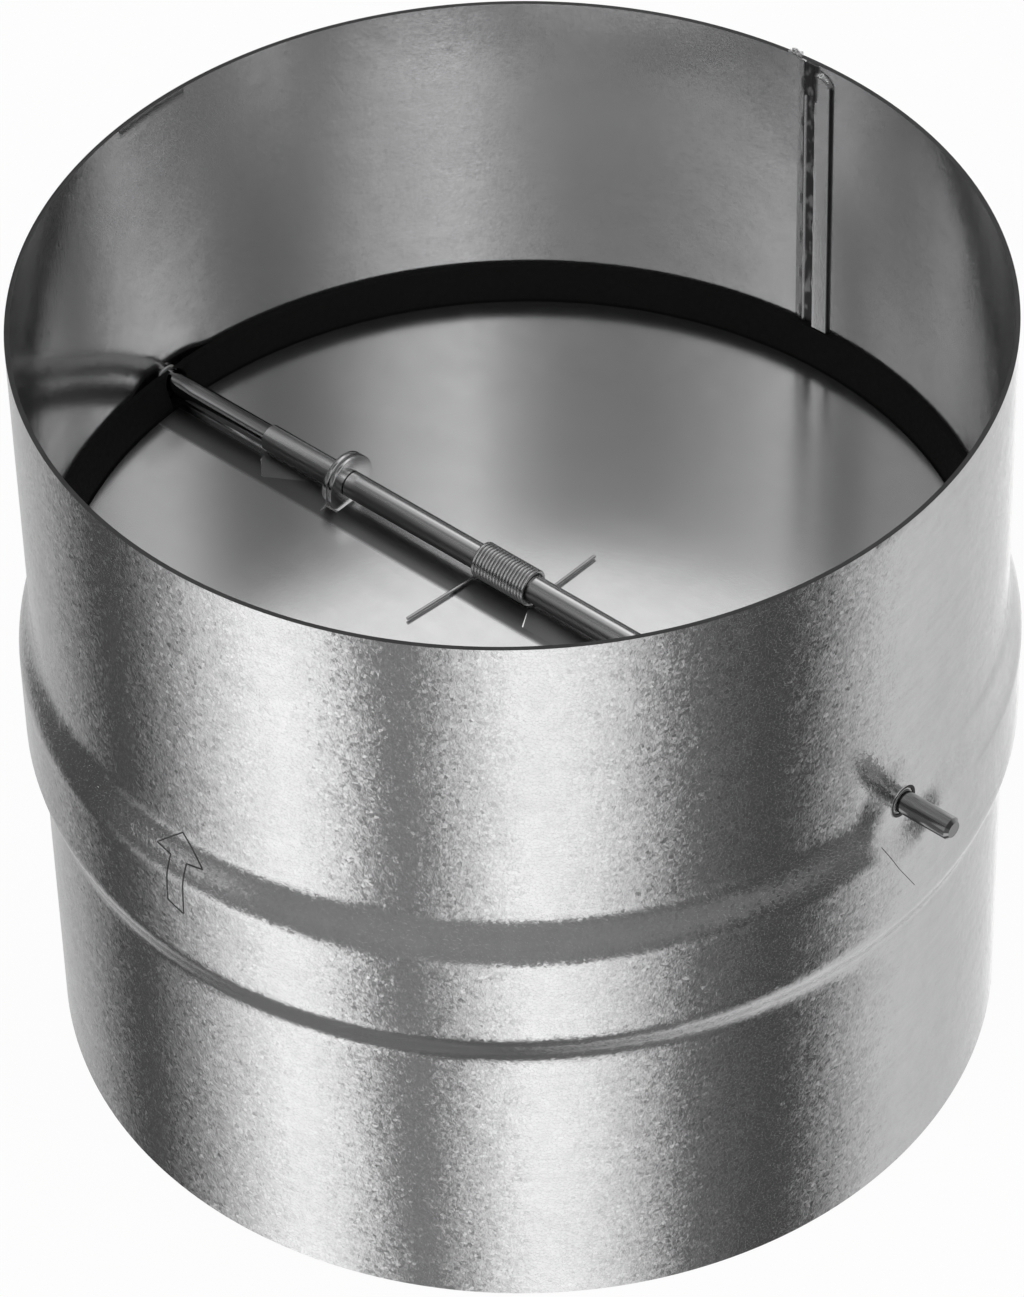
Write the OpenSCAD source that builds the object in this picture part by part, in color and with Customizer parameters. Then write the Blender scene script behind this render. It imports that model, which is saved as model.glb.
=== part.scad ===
// Butterfly backdraft damper for a 100 mm round duct.
// The casing is one rolled sheet with a wide bead. A pin crosses it, and two
// half-round blades are rolled onto the pin by their own edges. One wire spring
// on the hinge holds both blades down on a rubber strip; air from below lifts them.
// The origin is the centre of the lower rim, +Z is the way the air flows and the
// pin lies along X.

/* [Casing] */
// Outside diameter of the two plain ends
duct_d = 99; // [92:0.5:125]
// Height of the casing from rim to rim
casing_h = 88.5; // [80:0.5:120]
// Thickness of the casing's sheet
casing_t = 0.5; // [0.4:0.05:0.8]
// Height above the lower rim at which the bead starts
bead_z = 33.7; // [25:0.1:40]
// Length of the bead along the duct
bead_len = 21.2; // [19:0.1:26]
// How far the bead stands out from the plain ends
bead_out = 1.5; // [1:0.1:2.5]
// Length of the bead's lower sloping side
low_side = 5; // [4:0.1:6]
// Length of the bead's upper sloping side, which runs out past the pin holes
high_side = 6.2; // [5.5:0.1:8]

/* [Seam] */
// Width of the lap strip inside the seam
lap_w = 2.3; // [1.5:0.1:4]
// How far the lap strip stands in from the wall
lap_in = 0.35; // [0.2:0.05:0.6]
// Gap between the top of the lap strip and the upper rim
lap_below_rim = 1.5; // [0.5:0.1:8]
// Distance from the middle of the lap strip to the weld
weld_off = 2.75; // [2.2:0.05:4]
// Width of the weld ridge
weld_w = 0.7; // [0.4:0.05:1.2]
// How far the weld ridge stands in from the wall
weld_in = 0.25; // [0.1:0.05:0.35]

/* [Pin] */
// Diameter of the hinge pin
pin_d = 2.4; // [2:0.1:3]
// How far the pin's axis lies below the upper end of the bead
pin_drop = 2.3; // [2.3:0.1:3]
// How far each end of the pin stands out from the plain ends' surface
pin_out = 6.7; // [4:0.1:12]
// Chamfer on the pin's ends
pin_chamfer = 0.35; // [0.1:0.05:0.6]
// Wall of the two bushes that carry the pin
bush_wall = 0.25; // [0.2:0.01:0.5]
// Length of each bush
bush_len = 1.7; // [1.4:0.1:3]
// Width of the rolled lip round each pin hole
lip_w = 0.42; // [0.3:0.02:0.9]
// How far the lip stands out from the plain ends' surface
lip_out = 0.55; // [0.4:0.05:0.9]
// Width of the flat ring pressed round each lip
pad_w = 0.3; // [0.2:0.05:0.6]
// Width over which the pressed hollow round a pin hole runs out into the bead
hollow_w = 2.5; // [1.5:0.1:4]

/* [Blades] */
// Gap between the blades' round edge and the casing's plain wall
blade_gap = 2.1; // [1.9:0.1:4]
// Thickness of the blade sheet
blade_t = 0.2; // [0.15:0.05:0.3]
// Distance from the pin's axis to the bend where a hinge tab leaves the blade
bend_y = 3.4; // [3.2:0.1:6]
// Angle of the gap between the end of a roll and its own neck
roll_open = 70; // [40:5:90]
// Gap between the blades' straight edges and the duct's middle
mid_gap = 0.15; // [0.1:0.05:0.3]
// Width of the slit beside a hinge tab
slit = 0.2; // [0.1:0.05:0.4]

/* [Hinge] */
// How far the hinge's middle sits along the pin from the duct's axis
hinge_x = -1.5; // [-2:0.1:2]
// Distance from the hinge's middle to the middle of each washer pair
washer_x = 22.2; // [18:0.1:28]
// Length of the outer roll of each blade
outer_roll_len = 10; // [6:0.5:12]
// Diameter of the retaining washers
washer_d = 6.4; // [5.6:0.1:7.5]
// Thickness of one washer
washer_t = 0.6; // [0.4:0.05:0.8]
// Gap between the two washers of a pair
washer_gap = 0.1; // [0.05:0.05:0.2]

/* [Spring] */
// Diameter of the spring wire
wire_d = 0.4; // [0.3:0.02:0.42]
// Number of turns in the coil
turns = 17; // [10:1:17]
// Gap between one turn and the next
turn_gap = 0.01; // [0.01:0.01:0.03]
// Length of the leg that lies on the near blade
near_leg = 8; // [5:0.1:14]
// Length of the leg that lies on the far blade
far_leg = 9.2; // [5:0.1:14]

/* [Seal] */
// Height of the rubber strip
seal_h = 14; // [10:0.5:16]
// How far the strip's upper edge stands above the pin
seal_over = 0.3; // [0.2:0.1:1]
// Thickness of the strip's upper edge
seal_edge = 0.5; // [0.3:0.1:1.2]
// How far the strip reaches in under the blades
seal_under = 1.6; // [1:0.1:3]
// Thickness of the ledge that the blades close on
seal_ledge = 1.4; // [0.8:0.1:2]
// Thickness of the strip's lower edge
seal_foot = 1; // [0.5:0.1:2]

/* [Clearances] */
// Radial gap between the pin and what turns or slides on it
pin_fit = 0.03; // [0.02:0.01:0.06]
// Radial gap between the blades' rolls and the spring round them
coil_gap = 0.17; // [0.1:0.01:0.3]
// Gap between parts side by side on the pin
side_gap = 0.1; // [0.05:0.05:0.3]
// Gap between a blade and the strip that it closes on
rest_gap = 0.1; // [0.05:0.05:0.3]
// Gap between parts that are seated in one another
seat_gap = 0.05; // [0.02:0.01:0.1]
// Gap between the blade's round edge and the strip beside it
edge_gap = 0.3; // [0.2:0.05:0.6]

/* [Hidden] */

// The pin's two ends and the two places in a pair of washers, each with its way along X
pin_ends = [["left", -1], ["right", 1]];
pair_places = [["outer", 1], ["inner", -1]];

// How far a cutter runs past what it cuts, and a piece into what it is joined to
eps = 0.01;
cut_past = 1;
duct_r = duct_d / 2;
bore_r = duct_r - casing_t;
blade_r = bore_r - blade_gap;
bead_top = bead_z + bead_len;
pin_z = bead_top - pin_drop;
side_steps = 8;

pin_r = pin_d / 2;
pin_half = duct_r + pin_out;
bush_r = pin_r + pin_fit + bush_wall;
hole_r = bush_r + seat_gap;
lip_r = hole_r + lip_w;
pad_r = lip_r + pad_w;
pad_x = sqrt(duct_r * duct_r - pad_r * pad_r);
hollow_slope = atan2(bead_out, hollow_w);

roll_in = pin_r + pin_fit;
roll_out = roll_in + blade_t;
roll_mid = roll_in + blade_t / 2;
wire_r = wire_d / 2;
coil_r = roll_out + coil_gap + wire_r;
leaf_top = -(coil_r + wire_r + side_gap);
leaf_low = leaf_top - blade_t;

// The roll is a sheet bent round the pin: it leaves the blade at the bend, meets
// the roll on a tangent and stops just above the neck
bend = [bend_y, (leaf_top + leaf_low) / 2];
neck_turn = atan2(bend[1], bend[0]) - acos(roll_mid / norm(bend));
neck_dir = (bend - roll_mid * [cos(neck_turn), sin(neck_turn)])
         / norm(bend - roll_mid * [cos(neck_turn), sin(neck_turn)]);

pair_w = 2 * washer_t + washer_gap;
roll_end = washer_x - pair_w / 2 - side_gap;
outer_start = washer_x + pair_w / 2 + side_gap;
outer_end = outer_start + outer_roll_len;
washer_r = washer_d / 2;
slot_y = sqrt(max(0, washer_r * washer_r - leaf_top * leaf_top)) + 2 * side_gap;
slot_w = pair_w + 4 * side_gap;

turn_step = wire_d + turn_gap;
coil_half = turns * turn_step / 2 + wire_r;
neck_start = coil_half + 3 * side_gap;
slant_y = 1.5;
inner_slant = 1;
outer_slant = bend_y - slant_y;

seal_top = pin_z + pin_r + seal_over;
seal_low = seal_top - seal_h;
seal_in = blade_r - seal_under;
ledge_z = pin_z + leaf_low - rest_gap;

// Share of the bead's full height reached along a sloping side, from 0 to 1
function ease(s) = (1 - cos(180 * s)) / 2;

// How far the wall stands out at height z
function bulge(z) =
    z <= bead_z || z >= bead_top ? 0
    : z < bead_z + low_side ? bead_out * ease((z - bead_z) / low_side)
    : z > bead_top - high_side ? bead_out * ease((bead_top - z) / high_side)
    : bead_out;

// Heights at which the wall's outline has a point
function wall_zs() = concat(
    [0],
    [for (i = [0:side_steps]) bead_z + low_side * i / side_steps],
    [for (i = [0:side_steps]) bead_top - high_side * (1 - i / side_steps)],
    [casing_h]);

// The wall's outline at a given radius of the plain ends, from z0 up to z1
function wall_line(r, z0, z1) = concat(
    [[r + bulge(z0), z0]],
    [for (z = wall_zs()) if (z > z0 + eps && z < z1 - eps) [r + bulge(z), z]],
    [[r + bulge(z1), z1]]);

// Places its children on the pin's axis, pointing outwards to one end of the pin
module at_end(way) {
    translate([0, 0, pin_z]) rotate([0, way * 90, 0]) children();
}

module at_both_ends() {
    for (way = [-1, 1])
        at_end(way) children();
}

// A plain tube between two distances along the axis
module tube(r_out, r_in, from, to) {
    difference() {
        translate([0, 0, from]) cylinder(r = r_out, h = to - from, $fn = 48);
        translate([0, 0, from - eps]) cylinder(r = r_in, h = to - from + 2 * eps, $fn = 48);
    }
}

// The space outside the wall that is pressed in flat round a pin hole, moved inwards
// by a given depth. It runs out into the bead as a cone
module hollow(depth) {
    corner_r = pad_r + depth * tan(hollow_slope / 2);
    rise = 2 * bead_out;
    rotate_extrude($fn = 64)
        polygon([[0, pad_x - depth], [corner_r, pad_x - depth],
                 [corner_r + rise / tan(hollow_slope), pad_x - depth + rise],
                 [0, pad_x - depth + rise]]);
}

// A solid round body with the wall's outline at a given radius of the plain ends. It
// runs past both rims by a margin
module round_body(r, margin, depth) {
    line = wall_line(r, 0, casing_h);
    difference() {
        rotate_extrude($fn = 180)
            polygon(concat([[0, -margin], [r, -margin]], [for (i = [1:len(line) - 2]) line[i]],
                           [[r, casing_h + margin], [0, casing_h + margin]]));
        at_both_ends() hollow(depth);
    }
}

// The seam runs up the +Y side: a lap strip with round corners, and the weld beside it
module seam_inside() {
    strip_low = seal_top + 2 * seat_gap;
    strip_high = casing_h - lap_below_rim;
    corner_r = lap_w / 4;
    wall_r = bore_r + casing_t / 2;
    translate([0, wall_r, 0]) rotate([90, 0, 0]) linear_extrude(lap_in + casing_t / 2) {
        translate([-lap_w / 2, strip_low]) square([lap_w, strip_high - strip_low - corner_r]);
        translate([-lap_w / 2 + corner_r, strip_high - 2 * corner_r])
            square([lap_w - 2 * corner_r, 2 * corner_r]);
        for (side = [-1, 1])
            translate([side * (lap_w / 2 - corner_r), strip_high - corner_r])
                circle(r = corner_r, $fn = 32);
    }
    intersection() {
        rotate([0, 0, asin(weld_off / bore_r)])
            translate([0, bore_r + weld_w / 2 - weld_in, strip_low])
                cylinder(d = weld_w, h = casing_h - strip_low, $fn = 24);
        cylinder(r = wall_r, h = casing_h, $fn = 180);
    }
}

module casing() color("lightgray") {
    difference() {
        union() {
            difference() {
                round_body(duct_r, 0, 0);
                round_body(bore_r, cut_past, casing_t);
            }
            seam_inside();
            at_both_ends() tube(lip_r, hole_r, pad_x - casing_t / 2, duct_r + lip_out);
        }
        at_both_ends() translate([0, 0, seal_in]) cylinder(r = hole_r, h = pin_half - seal_in, $fn = 48);
    }
}

// The strip lines the upper part of the bead and is notched over the pin
module seal() color([0.08, 0.08, 0.08]) {
    rim_r = bore_r - seat_gap;
    beside_r = blade_r + edge_gap;
    notch_r = bush_r + seat_gap;
    difference() {
        rotate_extrude($fn = 180)
            polygon(concat(
                wall_line(rim_r, seal_low, seal_top),
                [[rim_r - seal_edge, seal_top],
                 [beside_r, pin_z + leaf_top + edge_gap],
                 [beside_r, ledge_z],
                 [seal_in, ledge_z],
                 [seal_in, ledge_z - seal_ledge],
                 [rim_r + bulge(seal_low) - seal_foot, seal_low]]));
        at_both_ends() {
            hollow(casing_t + seat_gap);
            translate([0, 0, seal_in - cut_past]) cylinder(r = notch_r, h = pin_half - seal_in, $fn = 48);
            translate([-2 * notch_r, -notch_r, seal_in - cut_past])
                cube([2 * notch_r, 2 * notch_r, pin_half - seal_in]);
        }
    }
}

module hinge_pin() color("silver") {
    translate([0, 0, pin_z]) rotate([0, 90, 0])
        rotate_extrude($fn = 48)
            polygon([[0, -pin_half], [pin_r - pin_chamfer, -pin_half],
                     [pin_r, -pin_half + pin_chamfer], [pin_r, pin_half - pin_chamfer],
                     [pin_r - pin_chamfer, pin_half], [0, pin_half]]);
}

// A bush sits in the hole at one end of the pin and ends just outside the lip
module bush(way) color("ivory") {
    bush_end = duct_r + lip_out + seat_gap;
    at_end(way) tube(bush_r, pin_r + pin_fit, bush_end - bush_len, bush_end);
}

// One of the two washers that lie side by side at each end of the blades' inner rolls
module retaining_washer(way, place) color("gainsboro") {
    chamfer = washer_t / 4;
    from_middle = washer_x + place * (washer_t + washer_gap) / 2;
    translate([hinge_x, 0, 0]) at_end(way) translate([0, 0, from_middle])
        rotate_extrude($fn = 64)
            polygon([[roll_in, -washer_t / 2], [washer_r - chamfer, -washer_t / 2],
                     [washer_r, -washer_t / 2 + chamfer], [washer_r, washer_t / 2 - chamfer],
                     [washer_r - chamfer, washer_t / 2], [roll_in, washer_t / 2]]);
}

// Centre line of the spring wire: leg, coil, leg. Each point holds the place along
// the pin, the angle round it and how far it lies along the tangent there
steps_per_turn = 16;
wire_sides = 6;
coil_points = turns * steps_per_turn;
function wire_path() = concat(
    [[-turns * turn_step / 2, -90, -near_leg]],
    [for (i = [0:coil_points])
        [-turns * turn_step / 2 + i * turn_step / steps_per_turn, -90 + i * 360 / steps_per_turn, 0]],
    [[turns * turn_step / 2, -90 + 360 * turns, far_leg]]);

// One ring of points round the wire
function wire_ring(p) = [for (k = [0:wire_sides - 1])
    let (across = coil_r + wire_r * cos(k * 360 / wire_sides))
        [p[0] + wire_r * sin(k * 360 / wire_sides),
         across * cos(p[1]) - p[2] * sin(p[1]),
         across * sin(p[1]) + p[2] * cos(p[1])]];

module torsion_spring() color("dimgray") {
    path = wire_path();
    last = len(path) - 1;
    sides = [for (i = [0:last - 1], k = [0:wire_sides - 1])
        let (a = i * wire_sides + k, b = i * wire_sides + (k + 1) % wire_sides)
            [a, b, b + wire_sides, a + wire_sides]];
    ends = [[for (k = [wire_sides - 1:-1:0]) k],
            [for (k = [0:wire_sides - 1]) last * wire_sides + k]];
    translate([hinge_x, 0, pin_z])
        polyhedron(points = [for (p = path) each wire_ring(p)], faces = concat(sides, ends));
}

// Turns a section drawn as (y, z) into a length along x
module along_x(from, to) {
    translate([from, 0, 0]) rotate([90, 0, 90]) linear_extrude(to - from) children();
}

// The roll's section: a ring with a gap where the neck arrives
module roll_section() {
    reach = 2 * roll_out;
    difference() {
        circle(r = roll_out, $fn = 64);
        circle(r = roll_in, $fn = 64);
        polygon([[0, 0], for (a = [0:2])
            reach * [cos(neck_turn + a * roll_open / 2), sin(neck_turn + a * roll_open / 2)]]);
    }
}

// The neck's section, from the roll down to the blade, with a mitred bend
module neck_section() {
    out = [cos(neck_turn), sin(neck_turn)];
    upper = roll_in * out;
    lower = roll_out * out;
    up_run = (leaf_top - upper[1]) / neck_dir[1];
    low_run = (leaf_low - lower[1]) / neck_dir[1];
    joined_y = bend_y + 2 * blade_t;
    polygon([upper - eps * neck_dir, upper + up_run * neck_dir, [joined_y, leaf_top],
             [joined_y, leaf_low], lower + low_run * neck_dir, lower - eps * neck_dir]);
}

// Cut-out in the blade under a hinge tab, whose corner at the far end is slanted
module tab_notch(from, to, slant) {
    polygon([[from - slit, -bend_y], [from - slit, bend_y], [to + slit - slant, bend_y],
             [to + slit, slant_y], [to + slit, -bend_y]]);
}

// The neck that joins a hinge tab to the blade
module tab_neck(from, to, slant) {
    difference() {
        along_x(from, to) neck_section();
        translate([0, 0, 2 * leaf_low]) linear_extrude(-4 * leaf_low)
            polygon([[to - slant, bend_y], [to, slant_y], [to + cut_past, slant_y],
                     [to + cut_past, bend_y + cut_past], [to - slant, bend_y + cut_past]]);
    }
}

// The flat half disc, cut out under its own tabs and round the washers
module leaf_plan(pattern_x) {
    difference() {
        intersection() {
            circle(r = blade_r, $fn = 180);
            translate([-blade_r, mid_gap]) square([2 * blade_r, blade_r]);
        }
        translate([pattern_x, 0]) {
            tab_notch(-roll_end, -neck_start, inner_slant);
            tab_notch(outer_start, outer_end, outer_slant);
            for (side = [-1, 1])
                translate([side * washer_x - slot_w / 2, -slot_y]) square([slot_w, 2 * slot_y]);
        }
    }
}

// One blade, drawn for the +Y half and turned about the duct's axis for the other.
// Its inner roll reaches under the spring, and its outer roll lies past the washers
module blade(turn) {
    pattern_x = turn == 0 ? hinge_x : -hinge_x;
    translate([0, 0, pin_z]) rotate([0, 0, turn]) {
        translate([0, 0, leaf_low]) linear_extrude(blade_t) leaf_plan(pattern_x);
        translate([pattern_x, 0, 0]) {
            along_x(-roll_end, -side_gap) roll_section();
            along_x(outer_start, outer_end) roll_section();
            tab_neck(-roll_end, -neck_start, inner_slant);
            tab_neck(outer_start, outer_end, outer_slant);
        }
    }
}

module blade_near() color("whitesmoke") blade(180);

module blade_far() color("whitesmoke") blade(0);

casing();
seal();
hinge_pin();
for (end = pin_ends)
    bush(end[1]);
for (end = pin_ends, place = pair_places)
    retaining_washer(end[1], place[1]);
torsion_spring();
blade_near();
blade_far();
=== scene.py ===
# Backdraft damper for a 100 mm duct: a beaded steel casing with a cross pin, two
# half-round blades rolled onto it, a wire spring and a rubber strip to close on.
import math

import bmesh
import bpy
from mathutils import Matrix, Vector, noise


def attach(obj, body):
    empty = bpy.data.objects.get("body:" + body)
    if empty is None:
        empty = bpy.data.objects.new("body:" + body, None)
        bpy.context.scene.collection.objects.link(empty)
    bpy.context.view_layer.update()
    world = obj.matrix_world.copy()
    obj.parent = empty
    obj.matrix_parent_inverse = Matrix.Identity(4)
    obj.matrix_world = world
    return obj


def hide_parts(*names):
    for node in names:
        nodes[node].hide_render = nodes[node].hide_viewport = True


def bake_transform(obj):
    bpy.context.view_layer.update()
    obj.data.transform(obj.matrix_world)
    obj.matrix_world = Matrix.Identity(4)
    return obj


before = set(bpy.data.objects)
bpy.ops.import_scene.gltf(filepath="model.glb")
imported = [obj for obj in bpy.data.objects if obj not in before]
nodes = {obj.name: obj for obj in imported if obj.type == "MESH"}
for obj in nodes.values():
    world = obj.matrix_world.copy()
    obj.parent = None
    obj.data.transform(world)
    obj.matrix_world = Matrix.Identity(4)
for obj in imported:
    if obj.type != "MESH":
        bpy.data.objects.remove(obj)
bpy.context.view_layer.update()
mm = 0.001

# Camera
# It stands in front and to the right of the damper and looks down into the open
# outlet, tipped a little to one side, as the photograph was taken.
camera_place = Vector((319.3, -349.3, 478.67)) * mm
look_turn = math.radians(132.54)
look_down = math.radians(42.62)
camera_tip = -0.0283
film_width = 36
lens_length = 174.36

ahead = Vector((math.cos(look_turn) * math.cos(look_down),
                math.sin(look_turn) * math.cos(look_down), -math.sin(look_down)))
level_right = ahead.cross(Vector((0, 0, 1))).normalized()
level_up = level_right.cross(ahead)
right = math.cos(camera_tip) * level_right + math.sin(camera_tip) * level_up
up = right.cross(ahead)
camera_data = bpy.data.cameras.new("camera")
camera_data.lens = lens_length
camera_data.sensor_width = film_width
camera = bpy.data.objects.new("camera", camera_data)
camera.matrix_world = Matrix.Translation(camera_place) @ Matrix((right, up, -ahead)).transposed().to_4x4()
bpy.context.scene.collection.objects.link(camera)
bpy.context.scene.camera = camera


# Floor and studio
# A pale floor in a wide white studio. Dark cards stand between the white ones, and the
# metal mirrors them as long bands.
def new_material(name):
    made = bpy.data.materials.new(name)
    made.use_nodes = True
    made.node_tree.nodes.clear()
    return made, made.node_tree.nodes, made.node_tree.links


def add_object(name, mesh):
    made = bpy.data.objects.new(name, mesh)
    bpy.context.scene.collection.objects.link(made)
    return made


def mesh_of(name, points, faces):
    made = bpy.data.meshes.new(name)
    made.from_pydata(points, [], faces)
    made.update()
    return made


def feed(tree, socket, value):
    """Sets a socket to a number, or links another socket to it."""
    if isinstance(value, (int, float)):
        socket.default_value = value
    else:
        tree.links.new(value, socket)


def math_node(tree, operation, *values):
    """A Math node whose inputs are numbers or sockets; gives its output socket."""
    node = tree.nodes.new("ShaderNodeMath")
    node.operation = operation
    for socket, value in zip(node.inputs, values):
        feed(tree, socket, value)
    return node.outputs[0]


def smooth_step(tree, value, low, high):
    """Rises smoothly from 0 to 1 as value goes from low to high."""
    node = tree.nodes.new("ShaderNodeMapRange")
    node.interpolation_type = "SMOOTHSTEP"
    for name, v in (("Value", value), ("From Min", low), ("From Max", high)):
        feed(tree, node.inputs[name], v)
    return node.outputs["Result"]


floor_half = 3.0
floor_drop = 0.2 * mm
floor_white_share = 0.955
floor_mat, n, l = new_material("pale floor")
floor_out = n.new("ShaderNodeOutputMaterial")
floor_mix = n.new("ShaderNodeMixShader")
floor_paint = n.new("ShaderNodeBsdfDiffuse")
floor_paint.inputs["Color"].default_value = (0.9, 0.9, 0.9, 1)
floor_white = n.new("ShaderNodeEmission")
floor_white.inputs["Color"].default_value = (1, 1, 1, 1)
floor_path = n.new("ShaderNodeLightPath")
seen = math_node(floor_mat.node_tree, "MAXIMUM", floor_path.outputs["Is Camera Ray"],
                 floor_path.outputs["Is Transmission Ray"])
l.new(math_node(floor_mat.node_tree, "MULTIPLY", seen, floor_white_share), floor_mix.inputs[0])
l.new(floor_paint.outputs[0], floor_mix.inputs[1])
l.new(floor_white.outputs[0], floor_mix.inputs[2])
l.new(floor_mix.outputs[0], floor_out.inputs[0])
floor = add_object("floor", mesh_of("floor", [(-floor_half, -floor_half, 0), (floor_half, -floor_half, 0),
                                              (floor_half, floor_half, 0), (-floor_half, floor_half, 0)],
                                    [(0, 1, 2, 3)]))
floor.location.z = -floor_drop
floor.data.materials.append(floor_mat)
floor.visible_glossy = False

# Brightness of the studio by the angle in degrees round the damper from its front, in
# belts one above the other: from below the damper, over level, to overhead
studio_front = -47.57
below_belt = [(-180, 0.4), (-160, 0.15), (-60, 0.15), (-25, 0.1), (60, 0.15), (110, 0.55), (160, 0.8),
              (180, 0.4)]
low_belt = [(-180, 1.15), (-170, 0.66), (-152, 0.48), (-136, 0.37), (-125, 0.2), (-114, 0.05), (-103, 0.06),
            (-90, 0.26), (-76, 0.7), (-60, 1.15), (-46, 0.92), (-34, 0.2), (-25, 0.16), (-10, 0.8),
            (0, 1.12), (15, 0.92), (27, 0.55), (37, 0.14), (60, 0.05), (69, 0.07), (84, 0.42), (95, 0.6),
            (125, 0.55), (145, 0.64), (158, 0.8), (168, 1.25), (180, 1.15)]
level_belt = [(-180, 0.3), (-150, 0.12), (-100, 0.06), (-86, 0.1), (-70, 0.17), (-60, 0.2), (0, 0.23),
              (30, 0.14), (50, 0.05), (66, 0.09), (75, 0.11), (88, 0.5), (180, 0.5)]
middle_belt = [(-180, 0.3), (-150, 0.14), (-100, 0.08), (-88, 0.1), (-80, 0.5), (-66, 0.5), (-58, 0.22),
               (0, 0.24), (50, 0.16), (75, 0.11), (88, 0.5), (180, 0.5)]
dim_belt = [(-180, 0.4), (-120, 0.3), (-100, 0.07), (-88, 0.08), (-80, 0.5), (-66, 0.5), (-57, 0.1),
            (0, 0.1), (75, 0.1), (95, 0.4), (180, 0.4)]
high_belt = [(-180, 1.0), (-155, 0.2), (-140, 0.4), (-120, 0.33), (-98, 0.36), (-89, 0.13), (-83, 0.11),
             (-76, 0.6), (-58, 0.5), (-32, 0.28), (-12, 0.3), (0, 0.5), (12, 1.0), (28, 0.75), (46, 0.25),
             (60, 0.13), (74, 0.2), (92, 0.65), (108, 0.6), (128, 0.3), (150, 0.15), (165, 0.6), (180, 1.0)]
top_belt = [(-180, 0.6), (-155, 0.5), (-125, 0.22), (-105, 0.06), (-60, 0.15), (0, 0.5), (120, 0.4),
            (180, 0.6)]
# Each belt fades in between two heights of the unit direction
belts = ((-0.92, -0.80, low_belt), (-0.55, -0.40, level_belt), (-0.30, -0.15, middle_belt),
         (0.08, 0.18, dim_belt), (0.54, 0.63, high_belt), (0.76, 0.84, top_belt))


def ramp_node(n, stops):
    """A Color Ramp of greys from (position, brightness) pairs."""
    ramp = n.new("ShaderNodeValToRGB")
    for at, level in stops:
        stop = ramp.color_ramp.elements.new(at)
        stop.color = (level, level, level, 1)
    ramp.color_ramp.elements.remove(ramp.color_ramp.elements[0])
    return ramp


world = bpy.data.worlds.new("studio")
world.use_nodes = True
bpy.context.scene.world = world
w = world.node_tree
w.nodes.clear()
towards = w.nodes.new("ShaderNodeTexCoord").outputs["Generated"]
turn = w.nodes.new("ShaderNodeMapping")
turn.inputs["Rotation"].default_value = (0, 0, math.radians(-studio_front))
w.links.new(towards, turn.inputs["Vector"])
around = w.nodes.new("ShaderNodeTexGradient")
around.gradient_type = "RADIAL"
w.links.new(turn.outputs[0], around.inputs[0])
parts = w.nodes.new("ShaderNodeSeparateXYZ")
w.links.new(towards, parts.inputs[0])


def belt_light(stops):
    """The brightness of one belt by the direction looked in."""
    ramp = ramp_node(w.nodes, [((degrees + 180) / 360, level) for degrees, level in stops])
    w.links.new(around.outputs["Fac"], ramp.inputs[0])
    return ramp.outputs[0]


light = belt_light(below_belt)
for z0, z1, stops in belts:
    blend = w.nodes.new("ShaderNodeMix")
    blend.data_type = "RGBA"
    w.links.new(smooth_step(w, parts.outputs["Z"], z0, z1), blend.inputs["Factor"])
    w.links.new(light, blend.inputs["A"])
    w.links.new(belt_light(stops), blend.inputs["B"])
    light = blend.outputs["Result"]
world_light = w.nodes.new("ShaderNodeBackground")
w.links.new(light, world_light.inputs["Color"])
world_white = w.nodes.new("ShaderNodeBackground")
world_white.inputs["Color"].default_value = (1, 1, 1, 1)
world_path = w.nodes.new("ShaderNodeLightPath")
world_mix = w.nodes.new("ShaderNodeMixShader")
w.links.new(math_node(w, "MAXIMUM", world_path.outputs["Is Camera Ray"],
                      world_path.outputs["Is Transmission Ray"]), world_mix.inputs[0])
w.links.new(world_light.outputs[0], world_mix.inputs[1])
w.links.new(world_white.outputs[0], world_mix.inputs[2])
w.links.new(world_mix.outputs[0], w.nodes.new("ShaderNodeOutputWorld").inputs[0])

lamps_aim = Vector((0, 0, 50)) * mm
for name, place, size, power, mirrored in (("key light", (-0.582, -0.958, 0.616), 0.12, 0.14, True),
                                           ("front light", (0.1, -0.9, 1.0), 0.8, 6.0, False),
                                           ("fill light", (0.9, 0.2, 0.8), 0.8, 3.0, False)):
    lamp_data = bpy.data.lights.new(name, "AREA")
    lamp_data.shape = "DISK"
    lamp_data.size = size
    lamp_data.energy = power
    lamp = bpy.data.objects.new(name, lamp_data)
    lamp.location = place
    lamp.rotation_mode = "QUATERNION"
    lamp.rotation_quaternion = (lamps_aim - Vector(place)).to_track_quat("-Z", "Y")
    lamp.visible_glossy = mirrored
    bpy.context.scene.collection.objects.link(lamp)
bpy.context.scene.view_settings.view_transform = "Standard"


# Casing
# One sheet of galvanised steel, rolled to a tube. The bead is rolled in, the wall is
# set flat round the two pin holes, and the rims show the dark sheared edge.
duct_r = 49.5 * mm
casing_h = 88.5 * mm
sheet_t = 0.5 * mm
bead_low = 33.7 * mm
bead_high = 54.15 * mm
bead_out = 1.5 * mm
bead_low_side = 5 * mm
bead_high_side = 6.2 * mm
pin_height = 52.6 * mm
hole_r = 1.53 * mm
flat_r = 1.9 * mm
flat_to = 6.5 * mm
flat_place = 49.88 * mm
crease_depth = 0.08 * mm
join_gap = 0.002 * mm
edge_width = 0.05 * mm


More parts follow.
